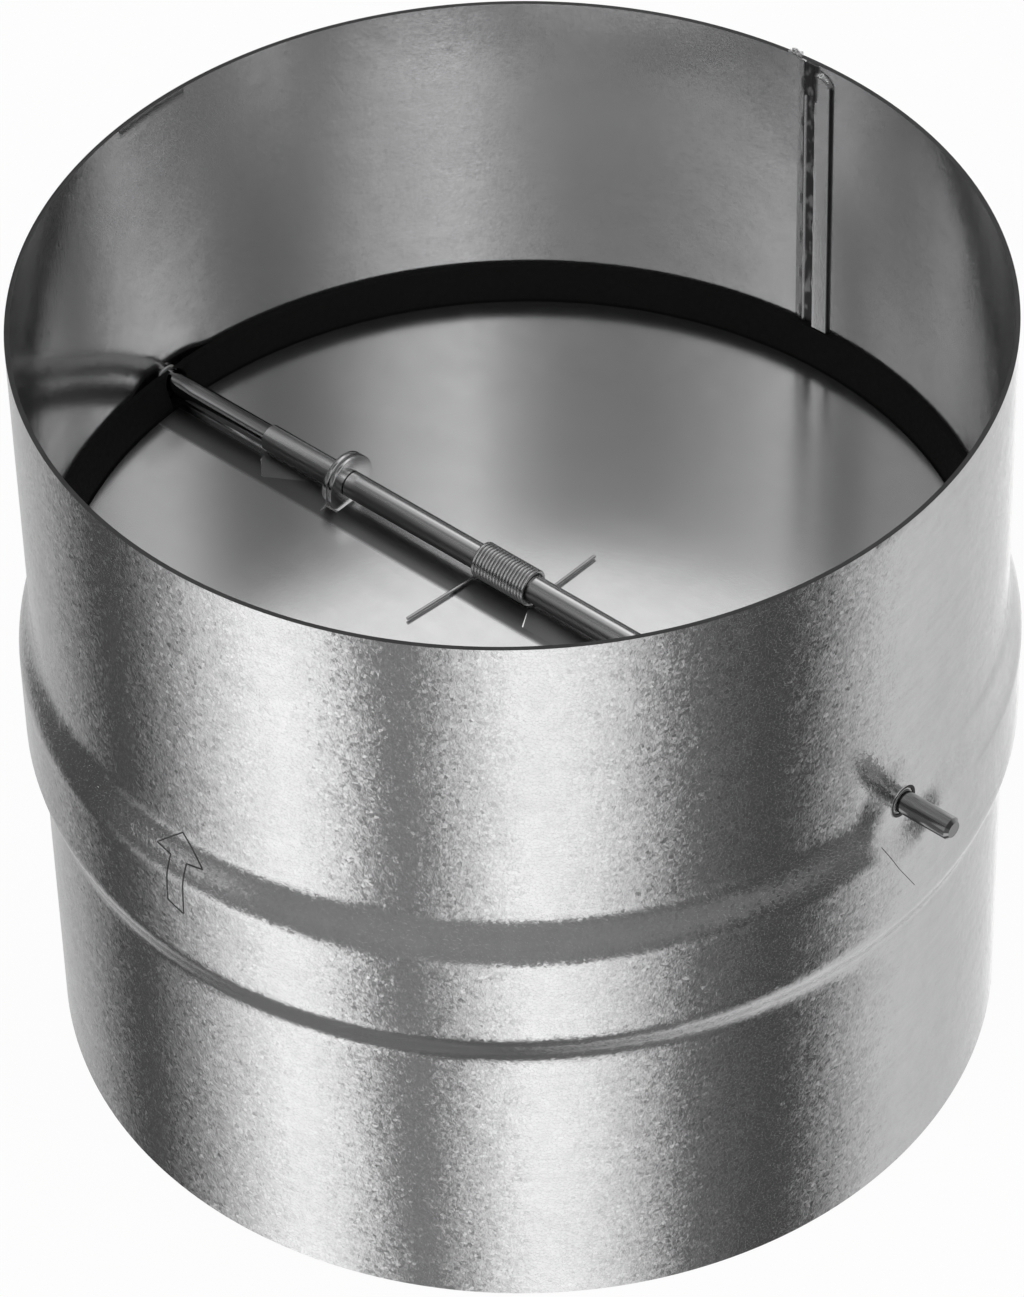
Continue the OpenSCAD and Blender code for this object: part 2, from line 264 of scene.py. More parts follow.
def node_tree(name, kind, inputs, outputs):
    """A node tree with named inputs (name, kind, value) and outputs (name, kind)."""
    tree = bpy.data.node_groups.new(name, kind)
    for label, socket_kind in outputs:
        tree.interface.new_socket(label, in_out="OUTPUT", socket_type="NodeSocket" + socket_kind)
    for label, socket_kind, value in inputs:
        socket = tree.interface.new_socket(label, in_out="INPUT", socket_type="NodeSocket" + socket_kind)
        if value is not None:
            socket.default_value = value
    return tree, tree.nodes.new("NodeGroupInput").outputs, tree.nodes.new("NodeGroupOutput").inputs


finish_group, g_in, g_out = node_tree("metal finish", "ShaderNodeTree", (
    ("Grain size", "Float", 0.3), ("Grain depth", "Float", 20.0), ("Wave size", "Float", 4.0),
    ("Wave depth", "Float", 30.0), ("Streaks", "Vector", (20, 20, 1400)), ("Streak depth", "Float", 3.0),
    ("Tone change", "Float", 0.1), ("Roughness", "Float", 0.2), ("Roughness change", "Float", 0.1),
    ("Fleck size", "Float", 0.3), ("Fleck slope", "Float", 0.0)),
    (("Tone", "Float"), ("Roughness", "Float"), ("Height", "Float")))
g = finish_group
where = g.nodes.new("ShaderNodeTexCoord").outputs["Object"]


def noise_node(tree, vector, scale, detail, rough=0.5, distortion=0.0):
    """A Noise Texture node; gives its value socket."""
    node = tree.nodes.new("ShaderNodeTexNoise")
    tree.links.new(vector, node.inputs["Vector"])
    for name, value in (("Scale", scale), ("Detail", detail), ("Roughness", rough),
                        ("Distortion", distortion)):
        feed(tree, node.inputs[name], value)
    return node.outputs["Fac"]


def vector_node(tree, operation, a, b):
    """A Vector Math node on two vectors, each a tuple or a socket; gives its output socket."""
    node = tree.nodes.new("ShaderNodeVectorMath")
    node.operation = operation
    for socket, value in zip(node.inputs, (a, b)):
        if isinstance(value, tuple):
            socket.default_value = value
        else:
            tree.links.new(value, socket)
    return node.outputs["Value" if operation == "DOT_PRODUCT" else "Vector"]


# The pattern of the surface: fine grain, long waves, rolling streaks, clouds and marks
grain = noise_node(g, vector_node(g, "MULTIPLY", where, (1, 1, 0.85)),
                   math_node(g, "DIVIDE", 1000.0, g_in["Grain size"]), 1.0, 0.4, 0.6)
waves = noise_node(g, where, math_node(g, "DIVIDE", 1000.0, g_in["Wave size"]), 1.0, 0.4)
streaks = noise_node(g, vector_node(g, "MULTIPLY", where, g_in["Streaks"]), 1.0, 3.0, 0.55)
clouds = noise_node(g, where, 60.0, 3.0, 0.55)
marks = noise_node(g, where, 420.0, 3.0, 0.7)

# Flecks: small grains of the zinc, each tipped its own way, few of them strongly
fleck_cells = g.nodes.new("ShaderNodeTexVoronoi")
g.links.new(where, fleck_cells.inputs["Vector"])
g.links.new(math_node(g, "DIVIDE", 1000.0, g_in["Fleck size"]), fleck_cells.inputs["Scale"])
centred = vector_node(g, "SUBTRACT", fleck_cells.outputs["Color"], (0.5, 0.5, 0.5))
doubled = vector_node(g, "MULTIPLY", centred, (2, 2, 2))
tipping = vector_node(g, "MULTIPLY", doubled, vector_node(g, "MULTIPLY", doubled, doubled))
from_middle = vector_node(g, "SUBTRACT", where, fleck_cells.outputs["Position"])
flecks = math_node(g, "MULTIPLY", vector_node(g, "DOT_PRODUCT", tipping, from_middle), 1e6)
grain_height = math_node(g, "ADD", math_node(g, "MULTIPLY", grain, g_in["Grain depth"]),
                         math_node(g, "MULTIPLY", flecks, g_in["Fleck slope"]))
height = math_node(g, "ADD", grain_height,
                   math_node(g, "ADD", math_node(g, "MULTIPLY", waves, g_in["Wave depth"]),
                             math_node(g, "MULTIPLY", streaks, g_in["Streak depth"])))
g.links.new(height, g_out["Height"])
uneven = math_node(g, "ADD", math_node(g, "MULTIPLY", clouds, 0.4),
                   math_node(g, "ADD", math_node(g, "MULTIPLY", streaks, 0.2),
                             math_node(g, "MULTIPLY", marks, 0.4)))
swing = math_node(g, "MULTIPLY", math_node(g, "SUBTRACT", uneven, 0.5), 2.0)
toned = math_node(g, "SUBTRACT", 1.0, math_node(g, "MULTIPLY", swing, g_in["Tone change"]))
rougher = math_node(g, "ADD", g_in["Roughness"], math_node(g, "MULTIPLY", swing, g_in["Roughness change"]))
g.links.new(toned, g_out["Tone"])
g.links.new(rougher, g_out["Roughness"])


def metal(name, grey, stain_and_shade=None, **values):
    """A bare metal: its grey, a mask that darkens it, and the finish group's values,
    with grain and waves sized in mm and all depths in thousandths of a mm."""
    made, n, l = new_material(name)
    tree = made.node_tree
    out = n.new("ShaderNodeOutputMaterial")
    body = n.new("ShaderNodeBsdfPrincipled")
    body.inputs["Metallic"].default_value = 1.0
    finish = n.new("ShaderNodeGroup")
    finish.node_tree = finish_group
    for label, value in values.items():
        finish.inputs[label.replace("_", " ").capitalize()].default_value = value
    tone, rough = finish.outputs["Tone"], finish.outputs["Roughness"]
    # The mask darkens the grey: on the lap it is the weld's scorch and painted shadow, on the blades
    # painted shade along the hinge.
    if stain_and_shade:
        mask = stain_and_shade(tree)
        tone = math_node(tree, "MULTIPLY", tone, math_node(tree, "SUBTRACT", 1.0, mask))
        rough = math_node(tree, "ADD", rough, math_node(tree, "MULTIPLY", mask, 0.25))
    colour = n.new("ShaderNodeMix")
    colour.data_type = "RGBA"
    colour.clamp_factor = False
    colour.inputs["A"].default_value = (0, 0, 0, 1)
    colour.inputs["B"].default_value = (grey, grey, grey * 1.005, 1)
    l.new(tone, colour.inputs["Factor"])
    l.new(colour.outputs["Result"], body.inputs["Base Color"])
    l.new(rough, body.inputs["Roughness"])
    dents = n.new("ShaderNodeBump")
    dents.inputs["Distance"].default_value = 0.000001
    l.new(finish.outputs["Height"], dents.inputs["Height"])
    l.new(dents.outputs[0], body.inputs["Normal"])
    l.new(body.outputs[0], out.inputs[0])
    return made


galvanised = metal("galvanised sheet", 0.82, grain_size=0.32, grain_depth=15.0, wave_size=3.5,
                   wave_depth=36.0, streaks=(25, 25, 1500), streak_depth=2.0, tone_change=0.2,
                   roughness=0.16, roughness_change=0.08, fleck_size=0.38, fleck_slope=0.05)
galvanised_inside = metal("galvanised sheet inside", 0.82, grain_size=0.32, grain_depth=7.0, wave_size=4.0,
                          wave_depth=30.0, streaks=(25, 25, 1500), streak_depth=2.0, tone_change=0.14,
                          roughness=0.19, roughness_change=0.08, fleck_size=0.38, fleck_slope=0.015)
sheared = metal("sheared steel edge", 0.08, grain_size=0.12, grain_depth=8.0, wave_size=2.0,
                wave_depth=10.0, streaks=(600, 600, 3000), streak_depth=4.0, tone_change=0.5,
                roughness=0.45, roughness_change=0.1)

# Where a point of the sheet lies, from its angle round the duct and its height
wall_place, p_in, p_out = node_tree("place on the wall", "GeometryNodeTree", (
    ("Around", "Float", 0.0), ("Up", "Float", 0.0), ("Out", "Float", 0.0), ("Radius", "Float", duct_r),
    ("Bead low", "Float", bead_low), ("Bead high", "Float", bead_high), ("Bead out", "Float", bead_out),
    ("Low side", "Float", bead_low_side), ("High side", "Float", bead_high_side),
    ("Pin height", "Float", pin_height), ("Flat radius", "Float", flat_r),
    ("Flat runs out", "Float", flat_to), ("Flat place", "Float", flat_place),
    ("Crease depth", "Float", crease_depth)), (("Place", "Vector"),))
t = wall_place
z = p_in["Up"]
low_side_end = math_node(t, "ADD", p_in["Bead low"], p_in["Low side"])
high_side_start = math_node(t, "SUBTRACT", p_in["Bead high"], p_in["High side"])
rising = smooth_step(t, z, p_in["Bead low"], low_side_end)
falling = smooth_step(t, z, high_side_start, p_in["Bead high"])
stands = math_node(t, "MULTIPLY", p_in["Bead out"], math_node(t, "SUBTRACT", rising, falling))
r = math_node(t, "ADD", p_in["Radius"], stands)
cos_a, sin_a = math_node(t, "COSINE", p_in["Around"]), math_node(t, "SINE", p_in["Around"])
x, y = math_node(t, "MULTIPLY", r, cos_a), math_node(t, "MULTIPLY", r, sin_a)
from_pin = math_node(t, "SQRT", math_node(
    t, "ADD", math_node(t, "POWER", math_node(t, "SUBTRACT", z, p_in["Pin height"]), 2.0),
    math_node(t, "POWER", y, 2.0)))
flatness = math_node(t, "SUBTRACT", 1.0, smooth_step(
    t, from_pin, p_in["Flat radius"], p_in["Flat runs out"]))
side_x = math_node(t, "ABSOLUTE", x)
pressed = math_node(t, "ADD", side_x, math_node(t, "MULTIPLY", flatness, math_node(
    t, "SUBTRACT", p_in["Flat place"], side_x)))


def crease(y0, z0, y1, z1, width):
    """A shallow valley in the +X wall that is deepest at its first end and runs out at the other."""
    length = math.hypot(y1 - y0, z1 - z0)
    uy, uz = (y1 - y0) / length, (z1 - z0) / length
    dy, dz = math_node(t, "SUBTRACT", y, y0), math_node(t, "SUBTRACT", z, z0)
    along = math_node(t, "ADD", math_node(t, "MULTIPLY", dy, uy), math_node(t, "MULTIPLY", dz, uz))
    across = math_node(t, "SUBTRACT", math_node(t, "MULTIPLY", dz, uy), math_node(t, "MULTIPLY", dy, uz))
    valley = math_node(t, "EXPONENT", math_node(t, "MULTIPLY", math_node(
        t, "POWER", math_node(t, "DIVIDE", across, width), 2.0), -1.0))
    ends = math_node(t, "MULTIPLY", smooth_step(t, along, -1.5 * mm, 0.5 * mm),
                     math_node(t, "SUBTRACT", 1.0, smooth_step(t, along, 0.2 * length, length)))
    return math_node(t, "MULTIPLY", valley, ends)


right_crease = crease(-1.9 * mm, 54.6 * mm, -7.2 * mm, 65 * mm, 1.6 * mm)
creases = math_node(t, "MULTIPLY", p_in["Crease depth"], math_node(
    t, "MULTIPLY", right_crease, smooth_step(t, x, 0.0, 1 * mm)))
set_x = math_node(t, "MULTIPLY", math_node(t, "SUBTRACT", pressed, creases), math_node(t, "SIGN", x))
spot = t.nodes.new("ShaderNodeCombineXYZ")
t.links.new(math_node(t, "ADD", set_x, math_node(t, "MULTIPLY", p_in["Out"], cos_a)), spot.inputs[0])
t.links.new(math_node(t, "ADD", y, math_node(t, "MULTIPLY", p_in["Out"], sin_a)), spot.inputs[1])
t.links.new(z, spot.inputs[2])
t.links.new(spot.outputs[0], p_out["Place"])


def grid_of(tree, across, up):
    """A grid and how far each of its points lies across and up it, from 0 to 1."""
    grid = tree.nodes.new("GeometryNodeMeshGrid")
    grid.inputs["Size X"].default_value = 1
    grid.inputs["Size Y"].default_value = 1
    tree.links.new(across, grid.inputs["Vertices X"])
    tree.links.new(up, grid.inputs["Vertices Y"])
    flat = tree.nodes.new("ShaderNodeSeparateXYZ")
    tree.links.new(tree.nodes.new("GeometryNodeInputPosition").outputs[0], flat.inputs[0])
    return (grid.outputs["Mesh"], math_node(tree, "ADD", flat.outputs["X"], 0.5),
            math_node(tree, "ADD", flat.outputs["Y"], 0.5))


def lay_on_wall(tree, geometry, around_wall, height_up, out):
    """Moves each point of a flat shape to its place on the sheet."""
    found = tree.nodes.new("GeometryNodeGroup")
    found.node_tree = wall_place
    for label, value in (("Around", around_wall), ("Up", height_up), ("Out", out)):
        feed(tree, found.inputs[label], value)
    put = tree.nodes.new("GeometryNodeSetPosition")
    tree.links.new(geometry, put.inputs["Geometry"])
    tree.links.new(found.outputs[0], put.inputs["Position"])
    return put.outputs[0]


def end_tree(tree, geometry, out, material):
    """Smooth shading, real geometry and its material."""
    for kind in ("GeometryNodeSetShadeSmooth", "GeometryNodeRealizeInstances", "GeometryNodeSetMaterial"):
        step = tree.nodes.new(kind)
        tree.links.new(geometry, step.inputs[0])
        geometry = step.outputs[0]
    step.inputs["Material"].default_value = material
    tree.links.new(geometry, out)


wall_tree, wall_in, wall_out = node_tree("rolled casing wall", "GeometryNodeTree", (
    ("Height", "Float", casing_h), ("Steps round", "Int", 360), ("Steps up", "Int", 112),
    ("Crowding at pins", "Float", 0.6), ("Crowding at bead", "Float", 0.6), ("Bead place", "Float", 0.53)),
    (("Geometry", "Geometry"),))
t = wall_tree
sheet, share_round, share_up = grid_of(t, wall_in["Steps round"], wall_in["Steps up"])
wall_turn = math_node(t, "SUBTRACT", math_node(t, "MULTIPLY", share_round, 2 * math.pi), math_node(
    t, "MULTIPLY", math_node(t, "MULTIPLY", wall_in["Crowding at pins"], 0.5),
    math_node(t, "SINE", math_node(t, "MULTIPLY", share_round, 4 * math.pi))))
from_bead = math_node(t, "MULTIPLY", math_node(t, "SUBTRACT", share_up, wall_in["Bead place"]), 2 * math.pi)
start = math_node(t, "MULTIPLY", wall_in["Bead place"], 2 * math.pi)
crowding = math_node(t, "ADD", math_node(t, "SINE", from_bead), math_node(t, "SINE", start))
drawn = math_node(t, "MULTIPLY", crowding, math_node(t, "DIVIDE", wall_in["Crowding at bead"], 2 * math.pi))
wall_up = math_node(t, "MULTIPLY", wall_in["Height"], math_node(t, "SUBTRACT", share_up, drawn))
close = t.nodes.new("GeometryNodeMergeByDistance")
close.inputs["Distance"].default_value = join_gap
t.links.new(lay_on_wall(t, sheet, wall_turn, wall_up, 0.0), close.inputs[0])
end_tree(t, close.outputs[0], wall_out[0], galvanised)


def shape_from(name, tree, material, values=None, extra=(), start_mesh=None):
    """Runs a tree with the given input values, then the extra modifiers, into a plain mesh object."""
    holder = add_object(name, start_mesh or bpy.data.meshes.new(name + " start"))
    step = holder.modifiers.new("shape", "NODES")
    step.node_group = tree
    for item in tree.interface.items_tree:
        if item.in_out == "INPUT" and values and item.name in values:
            step[item.identifier] = values[item.name]
    for add in extra:
        add(holder)
    seen_as = holder.evaluated_get(bpy.context.evaluated_depsgraph_get())
    mesh = bpy.data.meshes.new_from_object(seen_as)
    holder.modifiers.clear()
    holder.data = mesh
    mesh.name = name
    if not mesh.materials:
        mesh.materials.append(material)
    return holder


def rod(name, radius, x0, x1, at_z, steps=64):
    """A plain round cutter along X."""
    made = bmesh.new()
    lying = Matrix.Translation(((x0 + x1) / 2, 0, at_z)) @ Matrix.Rotation(math.pi / 2, 4, "Y")
    bmesh.ops.create_cone(made, cap_ends=True, segments=steps, radius1=radius, radius2=radius,
                          depth=x1 - x0, matrix=lying)
    mesh = bpy.data.meshes.new(name)
    made.to_mesh(mesh)
    made.free()
    return add_object(name, mesh)


def thickness(depth, offset=-1):
    """Adds a Solidify modifier."""
    def add(obj):
        wall = obj.modifiers.new("thickness", "SOLIDIFY")
        wall.thickness = depth
        wall.offset = offset
        wall.use_even_offset = True
    return add


hole_cutter = rod("hole cutter", hole_r, -60 * mm, 60 * mm, pin_height)


def pin_holes(obj):
    """Adds the cut of both pin holes."""
    cut = obj.modifiers.new("pin holes", "BOOLEAN")
    cut.operation = "DIFFERENCE"
    cut.solver = "MANIFOLD"
    cut.object = hole_cutter


def soft_edges(width, angle=50, segments=2):
    """Adds a Bevel modifier on edges sharper than the angle."""
    def add(obj):
        bevel = obj.modifiers.new("soft edges", "BEVEL")
        bevel.width = width
        bevel.segments = segments
        bevel.limit_method = "ANGLE"
        bevel.angle_limit = math.radians(angle)
    return add


def smooth_to(obj, angle):
    """Smooth shading across every edge that turns less than the angle; the wide faces stay even."""
    obj.data.polygons.foreach_set("use_smooth", [True] * len(obj.data.polygons))
    obj.data.set_sharp_from_angle(angle=math.radians(angle))
    even = obj.modifiers.new("even shading", "WEIGHTED_NORMAL")
    even.keep_sharp = True
    mesh = bpy.data.meshes.new_from_object(obj.evaluated_get(bpy.context.evaluated_depsgraph_get()))
    obj.modifiers.clear()
    obj.data = mesh


casing = shape_from("casing_wall", wall_tree, galvanised,
                    extra=(thickness(sheet_t), pin_holes, soft_edges(edge_width)))
bpy.data.objects.remove(hole_cutter)
smooth_to(casing, 45)
casing.data.materials.clear()
outside_skin, inside_skin, cut_edge = range(3)
for finish in (galvanised, galvanised_inside, sheared):
    casing.data.materials.append(finish)
for face in casing.data.polygons:
    at_rim = not 1 * mm < face.center.z < casing_h - 1 * mm
    faces_inwards = face.normal.dot(face.center * Vector((1, 1, 0))) < 0
    if at_rim and abs(face.normal.z) > 0.85:
        face.material_index = cut_edge
    else:
        face.material_index = inside_skin if faces_inwards else outside_skin
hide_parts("casing")
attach(casing, "casing")


# Pin hole collars
# The edge of each pin hole stands up as a low ring, which shows the dark sheared steel.
# It is part of the sheet.
def turned(name, outline, materials, closed=False, steps=96, picks=None):
    """A body turned about the pin's axis from an outline of (x, radius) points in mm; picks
    gives the material of each band between two points."""
    points, faces, bands, rings = [], [], [], []
    for px, radius in outline:
        count = 1 if radius == 0 else steps
        rings.append(list(range(len(points), len(points) + count)))
        for i in range(count):
            a = 2 * math.pi * i / steps
            points.append((px * mm, radius * mm * math.cos(a), pin_height + radius * mm * math.sin(a)))
    for k, (a, b) in enumerate(zip(rings, rings[1:] + (rings[:1] if closed else []))):
        for i in range(steps):
            j = (i + 1) % steps
            corners = (a[i % len(a)], b[i % len(b)], b[j % len(b)], a[j % len(a)])
            faces.append(tuple(dict.fromkeys(corners)))
            bands.append(picks[k] if picks else 0)
    made = add_object(name, mesh_of(name, points, faces))
    for material in materials:
        made.data.materials.append(material)
    made.data.polygons.foreach_set("material_index", bands)
    work = bmesh.new()
    work.from_mesh(made.data)
    bmesh.ops.recalc_face_normals(work, faces=work.faces)
    work.to_mesh(made.data)
    work.free()
    smooth_to(made, 35)
    return made


collar_line = [(49.5, 1.9), (49.88, 1.86), (49.94, 1.83), (49.95, 1.8), (49.9, 1.5), (49.5, 1.49)]
collar_picks = [0, 0, 0, 1, 1, 0]
for end, way in (("left", -1), ("right", 1)):
    collar = turned("collar_" + end, [(px * way, radius) for px, radius in collar_line],
                    (galvanised, sheared), closed=True, picks=collar_picks)
    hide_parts("casing")
    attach(collar, "casing")


# Seam
# One edge of the sheet laps over the other inside the duct. A welding wheel has run down
# the lap and left a dark track, pinched at even steps, and a dark blob at the rim.
# The lap's darkening mask: the weld's real scorch, and painted shadow beside the strip's edge.
def seam_stain_and_shade(tree):
    stained = tree.nodes.new("ShaderNodeAttribute")
    stained.attribute_name = "stain_and_shade"
    return stained.outputs["Fac"]


lap_metal = metal("welded lap", 0.82, stain_and_shade=seam_stain_and_shade, grain_size=0.24, grain_depth=15.0, wave_size=2.0,
                  wave_depth=25.0, streaks=(1500, 1500, 25), streak_depth=4.0, tone_change=0.14,
                  roughness=0.2, roughness_change=0.1)
lap_tree, lap_in, lap_out = node_tree("lap seam", "GeometryNodeTree", (
    ("Start angle", "Float", math.radians(95.77)), ("Way", "Float", -1.0), ("Width", "Float", 6.1 * mm),
    ("Low", "Float", 54.2 * mm), ("High", "Float", 88.45 * mm), ("Wall place", "Float", -sheet_t),
    ("Relief", "Float", 1.0), ("Pinch step", "Float", 7.4), ("Dent step", "Float", 5.0),
    ("Steps across", "Int", 84), ("Steps up", "Int", 250)), (("Geometry", "Geometry"),))
t = lap_tree
patch, share_across, share_up = grid_of(t, lap_in["Steps across"], lap_in["Steps up"])
across = math_node(t, "MULTIPLY", share_across, lap_in["Width"])
z = math_node(t, "ADD", lap_in["Low"], math_node(t, "MULTIPLY", share_up, math_node(
    t, "SUBTRACT", lap_in["High"], lap_in["Low"])))
s, h = math_node(t, "MULTIPLY", across, 1000.0), math_node(t, "MULTIPLY", z, 1000.0)


def times(*values):
    """The product of numbers and sockets."""
    result = values[0]
    for value in values[1:]:
        result = math_node(t, "MULTIPLY", result, value)
    return result


def plus(*values):
    """The sum of numbers and sockets."""
    result = values[0]
    for value in values[1:]:
        result = math_node(t, "ADD", result, value)
    return result


def without(value):
    """What is left of 1."""
    return math_node(t, "SUBTRACT", 1.0, value)


def between(value, a0, a1, b0, b1):
    """1 between a1 and b0, falling smoothly to 0 at a0 and b1."""
    return math_node(t, "SUBTRACT", smooth_step(t, value, a0, a1), smooth_step(t, value, b0, b1))


def hump(value, middle, width):
    """A smooth peak of height 1."""
    away = math_node(t, "DIVIDE", math_node(t, "SUBTRACT", value, middle), width)
    return math_node(t, "EXPONENT", math_node(t, "MULTIPLY", math_node(t, "MULTIPLY", away, away), -1.0))


def beat(value, step, first, sharpness):
    """Narrow peaks from 0 to 1 at even steps."""
    turns_at = math_node(t, "DIVIDE", math_node(t, "MULTIPLY", math_node(
        t, "SUBTRACT", value, first), 2 * math.pi), step)
    wave = math_node(t, "MULTIPLY", math_node(t, "ADD", math_node(t, "COSINE", turns_at), 1.0), 0.5)
    return math_node(t, "POWER", wave, sharpness)


# Masks over the lap, with s across it and h up it, both in mm
pinch = beat(h, lap_in["Pinch step"], 60.2, 9.0)
dent = times(beat(h, lap_in["Dent step"], 60.5, 3.0), hump(s, 1.45, 0.2))
blob_top = smooth_step(t, h, 84.0, 84.35)
track = times(between(s, 1.95, 2.1, 3.0, 3.15), without(times(0.75, pinch, smooth_step(t, s, 2.3, 2.9))))
blob = times(blob_top, between(s, 1.85, 2.0, 3.55, 3.75))
corner_fall = math_node(t, "MULTIPLY", math_node(t, "POWER", math_node(t, "MAXIMUM", 0.0, math_node(
    t, "SUBTRACT", s, 4.0)), 2.0), 0.62)
strip_top = math_node(t, "SUBTRACT", 87.7, corner_fall)
below_top = without(smooth_step(t, h, math_node(t, "SUBTRACT", strip_top, 0.3), strip_top))
on_strip = times(smooth_step(t, s, 3.05, 3.3), without(smooth_step(t, s, 5.16, 5.42)), below_top)
ramp_up = times(smooth_step(t, s, 0.6, 1.9), without(smooth_step(t, s, 3.3, 3.6)))
# How far the metal stands off the wall in mm: the slope up to the lap, the flat strip,
# the pressed track with its dents and pinches, and the weld blob
rise = plus(-0.01, times(0.12, ramp_up), times(0.44, math_node(t, "MAXIMUM", 0.0, on_strip)),
            times(-0.1, ramp_up, smooth_step(t, s, 3.05, 3.3)), times(-0.1, track), times(-0.03, dent),
            times(0.15, pinch, hump(s, 3.1, 0.22)), times(0.2, blob),
            times(0.06, hump(s, 1.85, 0.12)), times(-0.05, smooth_step(t, s, 5.95, 6.1)))
mottled = t.nodes.new("ShaderNodeTexNoise")
mottled.inputs["Scale"].default_value = 900
mottled.inputs["Detail"].default_value = 2
spots = smooth_step(t, mottled.outputs["Fac"], 0.5, 0.66)
seam_spot = t.nodes.new("ShaderNodeCombineXYZ")
t.links.new(across, seam_spot.inputs[0])
t.links.new(times(z, 0.5), seam_spot.inputs[1])
t.links.new(seam_spot.outputs[0], mottled.inputs["Vector"])
# Painted shadow: a dark band along the strip's right edge and on the wall beside it, where the drop to the
# wall is in shade.
edge_painted_shadow = times(between(s, 5.1, 5.22, 5.85, 6.02), below_top)
scorched = times(0.86, math_node(t, "MAXIMUM", track, blob), without(times(0.45, spots)))
stain_and_shade = math_node(t, "MINIMUM", 0.93, plus(scorched, times(0.84, edge_painted_shadow), times(0.6, dent)))
keep = t.nodes.new("GeometryNodeStoreNamedAttribute")
keep.inputs["Name"].default_value = "stain_and_shade"
t.links.new(patch, keep.inputs["Geometry"])
t.links.new(stain_and_shade, keep.inputs["Value"])
lap_turn = math_node(t, "ADD", lap_in["Start angle"], math_node(t, "DIVIDE", math_node(
    t, "MULTIPLY", across, lap_in["Way"]), duct_r - sheet_t))
lap_rise = times(rise, 0.001, lap_in["Way"], lap_in["Relief"])
laid = lay_on_wall(t, keep.outputs[0], lap_turn, z, math_node(t, "ADD", lap_in["Wall place"], lap_rise))
end_tree(t, laid, lap_out[0], lap_metal)

lap_skin = 0.2 * mm
lap_inside = shape_from("seam_inside", lap_tree, lap_metal, extra=(thickness(lap_skin),))
lap_outside = shape_from("seam_outside", lap_tree, lap_metal, extra=(thickness(lap_skin),), values={
    "Start angle": math.radians(89.1), "Way": 1.0, "Low": 0.3 * mm, "High": 88.3 * mm, "Wall place": 0.0,
    "Relief": 0.3, "Steps up": 420})
for lap in (lap_inside, lap_outside):
    smooth_to(lap, 60)
    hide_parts("casing")
    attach(lap, "casing")

# The drop of metal that the weld left on the rim: three lumps run together
burr_lump = 0.35 * mm
burr_rough = 0.35
burr_angle = math.radians(95.2)
burr_r = duct_r - 0.3 * mm
burr_mesh = bmesh.new()
for size, dx, dz in ((0.42, -0.4, 0.12), (0.34, 0.15, 0.3), (0.3, 0.55, 0.05)):
    bmesh.ops.create_icosphere(burr_mesh, subdivisions=3, radius=size * mm,
                               matrix=Matrix.Translation((dx * mm, 0, dz * mm)))
for v in burr_mesh.verts:
    v.co *= 1 + burr_rough * noise.noise(v.co / burr_lump)
burr_place = Vector((math.cos(burr_angle), math.sin(burr_angle), 0)) * burr_r + Vector((0, 0, casing_h))
burr_stands = Matrix.Translation(burr_place) @ Matrix.Rotation(burr_angle + math.pi / 2, 4, "Z")
bmesh.ops.transform(burr_mesh, verts=burr_mesh.verts, matrix=burr_stands)
burr = add_object("weld_burr", bpy.data.meshes.new("weld_burr"))
burr_mesh.to_mesh(burr.data)
burr_mesh.free()
burr.data.materials.append(galvanised)
smooth_to(burr, 60)
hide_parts("casing")
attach(burr, "casing")


# Flow arrow and scratch
# Thin dark lines burnt into the zinc: the outline of an arrow that shows which way the
# air flows, and one stray scratch.
burnt, n, l = new_material("burnt line")
burnt_out = n.new("ShaderNodeOutputMaterial")
burnt_body = n.new("ShaderNodeBsdfPrincipled")
burnt_place = n.new("ShaderNodeTexCoord")
burnt_tone = noise_node(burnt.node_tree, burnt_place.outputs["Object"], 2500, 2.0)
burnt_ramp = ramp_node(n, [(0.3, 0.035), (0.7, 0.075), (1, 0.08)])
burnt_body.inputs["Roughness"].default_value = 0.5
l.new(burnt_tone, burnt_ramp.inputs[0])
l.new(burnt_ramp.outputs[0], burnt_body.inputs["Base Color"])
l.new(burnt_body.outputs[0], burnt_out.inputs[0])

line_tree, line_in, line_out = node_tree("line on the wall", "GeometryNodeTree", (
    ("Geometry", "Geometry", None), ("Width", "Float", 0.14 * mm), ("Lift", "Float", 0.02 * mm)),
    (("Geometry", "Geometry"),))
t = line_tree
path = t.nodes.new("GeometryNodeMeshToCurve")
t.links.new(line_in["Geometry"], path.inputs[0])
level_path = t.nodes.new("GeometryNodeSetCurveNormal")
level_path.mode = "Z_UP"
t.links.new(path.outputs[0], level_path.inputs[0])
across_line = t.nodes.new("GeometryNodeCurvePrimitiveLine")
for name, side in (("Start", -0.5), ("End", 0.5)):
    end_spot = t.nodes.new("ShaderNodeCombineXYZ")
    t.links.new(math_node(t, "MULTIPLY", line_in["Width"], side), end_spot.inputs[0])
    t.links.new(end_spot.outputs[0], across_line.inputs[name])
ribbon = t.nodes.new("GeometryNodeCurveToMesh")
t.links.new(level_path.outputs[0], ribbon.inputs["Curve"])
t.links.new(across_line.outputs[0], ribbon.inputs["Profile Curve"])
flat = t.nodes.new("ShaderNodeSeparateXYZ")
t.links.new(t.nodes.new("GeometryNodeInputPosition").outputs[0], flat.inputs[0])
laid = lay_on_wall(t, ribbon.outputs[0], math_node(t, "DIVIDE", flat.outputs["X"], duct_r),
                   flat.outputs["Y"], line_in["Lift"])
end_tree(t, laid, line_out[0], burnt)


